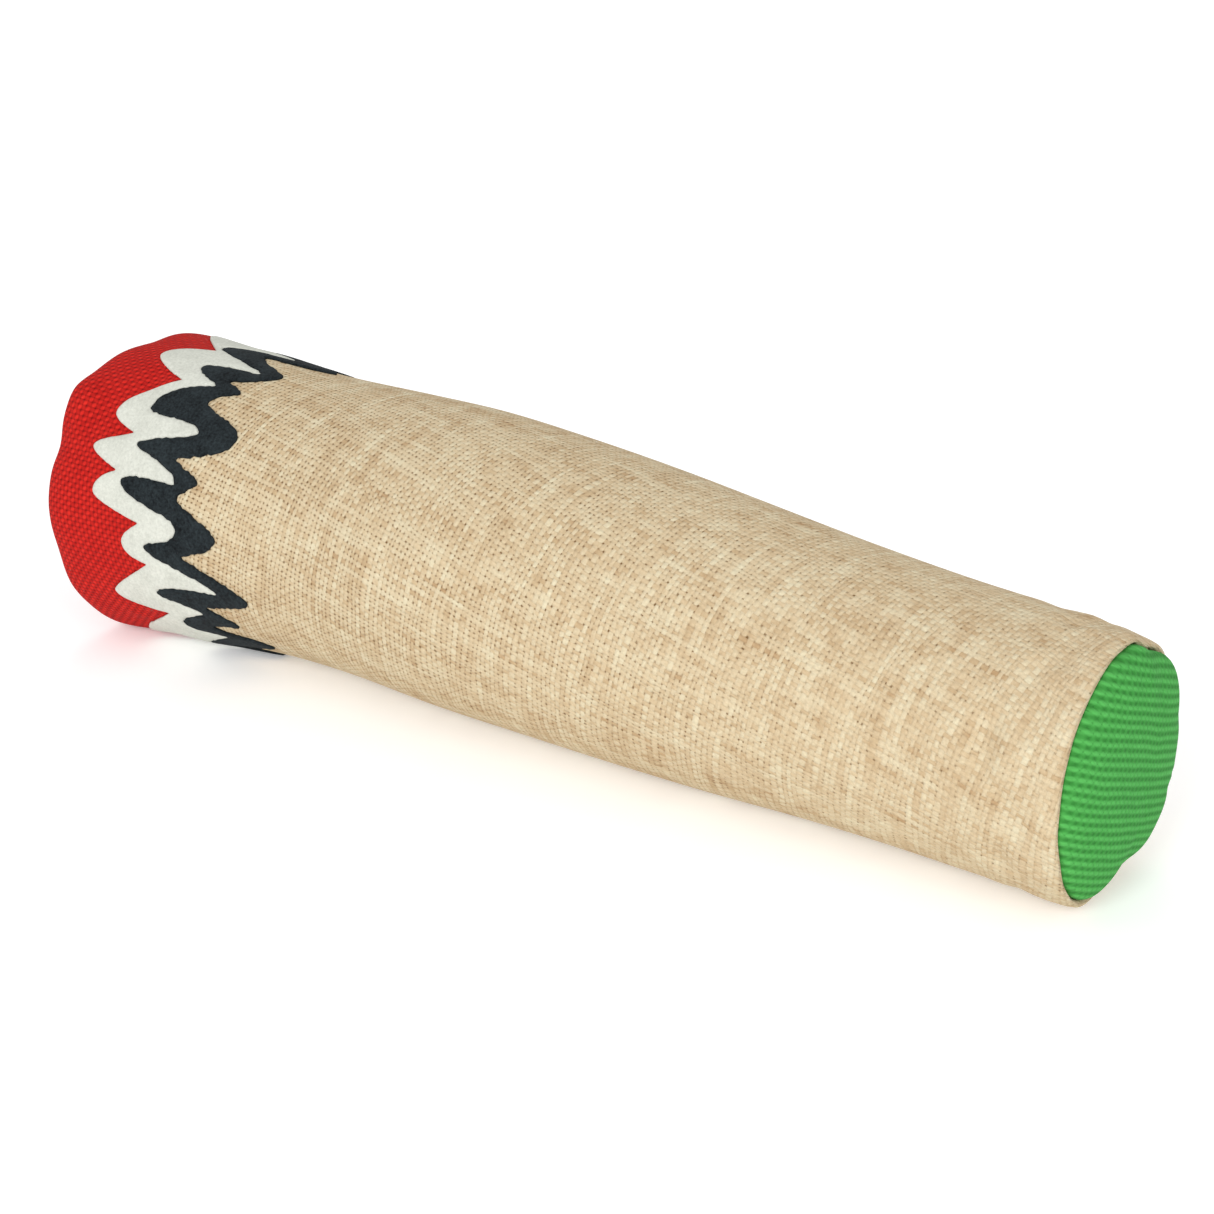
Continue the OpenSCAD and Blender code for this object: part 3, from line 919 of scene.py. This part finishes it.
def rim_stitches(name, disc, disc_s, wall_s, slant, material):
    """Stitches round an end that draw the disc's edge to the wall's edge."""
    ends = []
    for angle in np.arange(0, 360, RIM_STITCH_STEP):
        start = disc.point(disc_s, angle - slant, 0.08)
        end = wall.point(wall_s, angle + slant, 0.08)
        out = disc.point(disc_s, angle, 1.0) - disc.point(disc_s, angle)
        ends.append((start, end, out))
    points, faces = tube_between(ends, RIM_THREAD_R, bow=0.15)
    return make_mesh(name, points, faces, material)


def seam_allowance():
    """The opened allowance inside the back seam."""
    low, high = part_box("sleeve_seam")
    s = wall_at(np.arange(low.x / MM, high.x / MM, 1.5))
    random = np.random.default_rng(5)
    ragged = np.convolve(random.uniform(-0.5, 0.5, len(s)), [0.3, 0.4, 0.3], mode="same")
    angles = np.linspace(-ALLOWANCE_HALF, ALLOWANCE_HALF, 17) + SEAM_ANGLE
    angles = angles[None, :] + ragged[:, None] * np.sign(angles - SEAM_ANGLE)[None, :]
    outer = wall.point(s[:, None], angles, -CLOTH_T - ALLOWANCE_LIFT)
    inner = wall.point(s[:, None], angles, -2 * CLOTH_T - ALLOWANCE_LIFT)
    points = two_sides(outer, inner)
    flat = np.stack(np.broadcast_arrays(s[:, None], angles * ALLOWANCE_MM_PER_DEGREE), -1).reshape(-1, 2)
    k = np.arange(angles.size).reshape(angles.shape)
    quads = np.stack([k[:-1, :-1], k[:-1, 1:], k[1:, 1:], k[1:, :-1]], -1).reshape(-1, 4)
    border = np.concatenate([k[0], k[1:, -1], k[-1, -2::-1], k[-2:0:-1, 0]])
    faces = np.vstack([quads, quads + k.size, edge_faces(border, border + k.size)])
    return make_mesh("back_seam_allowance", points, faces.tolist(), LINEN, np.vstack([flat, flat])[faces])


# The lowest that stuffing lies, over the felt and the cloth.
STUFFING_FLOOR = FELT_T + CLOTH_T + 0.3


def lumpy(place, angle, size, seed):
    """How far the stuffing's lumps stand out."""
    return size * wave_sum(waves(9, 3, 14, seed), place * 2.2, angle)


def batting_sleeve():
    """The wrap of stuffing, lumpy outside and pressed against the core inside."""
    low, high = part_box("batting_wrap")
    core_low, core_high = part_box("core_wrap")
    core_r = (core_high.y - core_low.y) / 2 / MM + 0.2
    place = np.linspace(low.x / MM + 1, high.x / MM - 1, 110)[:, None]
    angles = (np.arange(120) * 3.0)[None]
    gap = 2 * CLOTH_T + 0.9
    lift = -gap + lumpy(place, angles, 0.3, 21)
    outer = wall.point(wall_at(place), angles, lift, STUFFING_FLOOR)
    axis = Vector(frame["joints"][0]["axis"])
    slope = axis.z / axis.x
    middle = (core_low + core_high) / 2 / MM
    turn = np.radians(angles)
    centre_z = middle.z + slope * (place - middle.x)
    inner = np.stack(np.broadcast_arrays(place, middle.y + core_r * np.cos(turn),
                                         centre_z + core_r * np.sin(turn)), -1)
    points = two_sides(outer, inner)
    return make_mesh("batting_sleeve", points, shell_faces(*outer.shape[:2]).tolist(), BATTING)


def batting_plug(name, node, skin, seed):
    """A pad of stuffing behind an end disc."""
    low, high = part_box(node)
    s = np.linspace(0.6, skin.at[-1] - 1.0, 34)[:, None]
    angles = (np.arange(96) * 3.75)[None]
    front = skin.point(s, angles, -CLOTH_T - 0.5 + lumpy(s, angles, 0.15, seed), STUFFING_FLOOR)
    back_place = (low.x if low.x > 0 else high.x) / MM
    shrink = np.linspace(1, 0.03, 14)[:, None, None]
    ring = front[-1:]
    middle = ring.mean(1, keepdims=True)
    back = middle + (ring - middle) * shrink
    back[..., 0] = back_place + (ring[..., 0] - back_place) * np.clip(shrink[..., 0] * 6 - 5, 0, 1)
    grid = np.concatenate([front, back[1:]])
    rows, columns = grid.shape[:2]
    points = np.vstack([grid.reshape(-1, 3), front[0].mean(0)[None], back[-1].mean(0)[None]])
    count = rows * columns
    faces = grid_faces(rows, columns)[0].tolist()
    faces += fan_faces(count, list(range(columns)))
    faces += fan_faces(count + 1, list(range(count - columns, count)))
    return make_mesh(name, points, faces, BATTING)


# ---- build ----

def ring_angles(step, seam_step):
    """Angles round the stick from the back seam, closer together beside it."""
    fine = np.arange(0, 8, seam_step)
    middle = np.linspace(8, 352, int(344 / step))
    return SEAM_ANGLE + np.concatenate([fine, middle, 360 - fine[:0:-1]])


def rows_between(start, end, step):
    return np.linspace(start, end, int(abs(end - start) / step) + 1)


stuff_cover()
join_at = float(wall_at(JOIN_PLACE))
linen = cloth_tube("linen_cover", wall, rows_between(join_at + 0.15, WALL_AT[-1], 1.0),
                   ring_angles(2.2, 0.8), CLOTH_T, LINEN)
red_side = cloth_tube("red_canvas_side", wall, rows_between(0.0, join_at - 0.15, 0.6),
                      SEAM_ANGLE + np.arange(0, 360, 1.5), CLOTH_T, RED)
red_cap = cloth_disc("red_canvas_disc", red_disc, 0.6, 240, CLOTH_T, RED)
green_cap = cloth_disc("green_canvas_disc", green_disc, 0.6, 240, CLOTH_T, GREEN)

white_edge = edge_curve(carry_on(WHITE_TURNS, (-79.5, 0.3), (-87.3, 2.6)), 0.03, 31)
black_edge = edge_curve(carry_on(BLACK_TURNS, (-69.5, 1.6), (-78.5, 2.6)), 0.15, 32)
linen_edge = edge_curve(carry_on(LINEN_TURNS, (-61.0, 2.2), (-69.5, 1.2)), 0.22, 33)

BEAD_COLOURS = {"left": (0.80, 0.16, 0.04), "middle": (0.85, 0.55, 0.05),
                "right": (0.05, 0.35, 0.70), "upper": (0.08, 0.50, 0.20)}
plug_wood = wood("plug_wood", (0.36, 0.22, 0.11), (0.58, 0.40, 0.23), (60, 900, 900))
bamboo = wood("bamboo_pin", (0.58, 0.42, 0.20), (0.80, 0.64, 0.38), (900, 900, 120))
material_of = {"core_tube": cardboard(), "core_wrap": kraft_paper(), "plug_red": plug_wood,
               "plug_green": plug_wood}
for turn_number in range(1, 8):
    material_of["pins_turn_%d" % turn_number] = bamboo
for row, colour in BEAD_COLOURS.items():
    material_of["bead_row_" + row] = bead_plastic("bead_" + row, colour)
for node_name, material in material_of.items():
    materials = frame["nodes"][node_name].data.materials
    materials.clear()
    materials.append(material)

white_band = felt_band("white_felt_band", white_edge, black_edge, WHITE)
black_band = felt_band("black_felt_band", black_edge, linen_edge, BLACK)
stitches = ladder_stitches()
red_stitches = rim_stitches("red_rim_stitches", red_disc, red_disc.at[-1] - 7.1, 6.9, 2.4, RED_THREAD)
green_stitches = rim_stitches("green_rim_stitches", green_disc, green_disc.at[-1] - 4.6,
                              WALL_AT[-1] - 4.6, 2.2, LINEN_THREAD)
allowance = seam_allowance()
batting = batting_sleeve()
red_pad = batting_plug("batting_red_end", "batting_pad_red", red_disc, 41)
green_pad = batting_plug("batting_green_end", "batting_pad_green", green_disc, 42)

for piece, node_name, slot in (
        (linen, "linen_sleeve", "linen"), (red_side, "red_side", "red_canvas"),
        (red_cap, "red_cap", "red_canvas"), (green_cap, "green_cap", "green_canvas"),
        (white_band, "white_band", "white_felt"), (black_band, "black_band", "black_felt"),
        (stitches, "closing_stitch", "thread"), (red_stitches, "red_cap_stitches", "thread"),
        (green_stitches, "green_cap_stitches", "thread"), (allowance, "sleeve_seam", "linen"),
        (batting, "batting_wrap", "batting"), (red_pad, "batting_pad_red", "batting"),
        (green_pad, "batting_pad_green", "batting")):
    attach(piece, STICK)
    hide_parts(node_name)


# ---- floor, light and camera ----

CAMERA_AZIMUTH = 37.7
CAMERA_ELEVATION = 22.3
CAMERA_DISTANCE = 0.388
CAMERA_LENS = 68.6
CAMERA_TURN = (-0.377, -0.867, -1.22)
LOOK_AT = Vector((0, 0, 0.025))
FLOOR_GLOW = 0.22
FLOOR_HALF = 3.0
WORLD_GLOW = 0.70


def studio_floor():
    mesh = bpy.data.meshes.new("floor")
    corners = [(x * FLOOR_HALF, y * FLOOR_HALF, 0) for x, y in ((-1, -1), (1, -1), (1, 1), (-1, 1))]
    mesh.from_pydata(corners, [], [(0, 1, 2, 3)])
    shade = Shade("floor_paper", Roughness=0.9, Emission_Color=(1, 1, 1, 1),
                  Emission_Strength=FLOOR_GLOW)
    grain = shade.noise(shade.space(), 40.0, 2)
    shade.colour(shade.ramp(grain, [(0.3, (0.93, 0.93, 0.93)), (0.7, (0.95, 0.95, 0.95))]))
    mesh.materials.append(shade.material)
    link(bpy.data.objects.new("floor", mesh))


def soft_light(name, position, size, power):
    data = bpy.data.lights.new(name, "AREA")
    data.shape = "DISK"
    data.size = size
    data.energy = power
    lamp = link(bpy.data.objects.new(name, data))
    lamp.location = position
    lamp.rotation_euler = (LOOK_AT - Vector(position)).to_track_quat("-Z", "Y").to_euler()


def camera():
    az, el = math.radians(CAMERA_AZIMUTH), math.radians(CAMERA_ELEVATION)
    back = Vector((math.sin(az) * math.cos(el), -math.cos(az) * math.cos(el), math.sin(el)))
    right = Vector((math.cos(az), math.sin(az), 0))
    up = back.cross(right)
    turn = Matrix((right, up, back)).transposed()
    pitch, yaw, roll = (math.radians(v) for v in CAMERA_TURN)
    for amount, axis in ((yaw, "Y"), (pitch, "X"), (roll, "Z")):
        turn = turn @ Matrix.Rotation(amount, 3, axis)
    data = bpy.data.cameras.new("camera")
    data.lens = CAMERA_LENS
    data.clip_start = 0.01
    seen = link(bpy.data.objects.new("camera", data))
    seen.matrix_world = Matrix.Translation(LOOK_AT + back * CAMERA_DISTANCE) @ turn.to_4x4()
    bpy.context.scene.camera = seen


studio_floor()
soft_light("key", (0.2, -1.2, 0.75), 0.6, 8.2)
soft_light("fill", (1.1, -0.5, 0.6), 0.7, 4.0)
soft_light("back", (-0.6, 0.9, 0.9), 0.8, 2.0)
world = bpy.data.worlds.new("studio")
world.use_nodes = True
world.node_tree.nodes["Background"].inputs[0].default_value = (1, 1, 1, 1)
world.node_tree.nodes["Background"].inputs[1].default_value = WORLD_GLOW
bpy.context.scene.world = world
bpy.context.scene.view_settings.view_transform = "Standard"
camera()
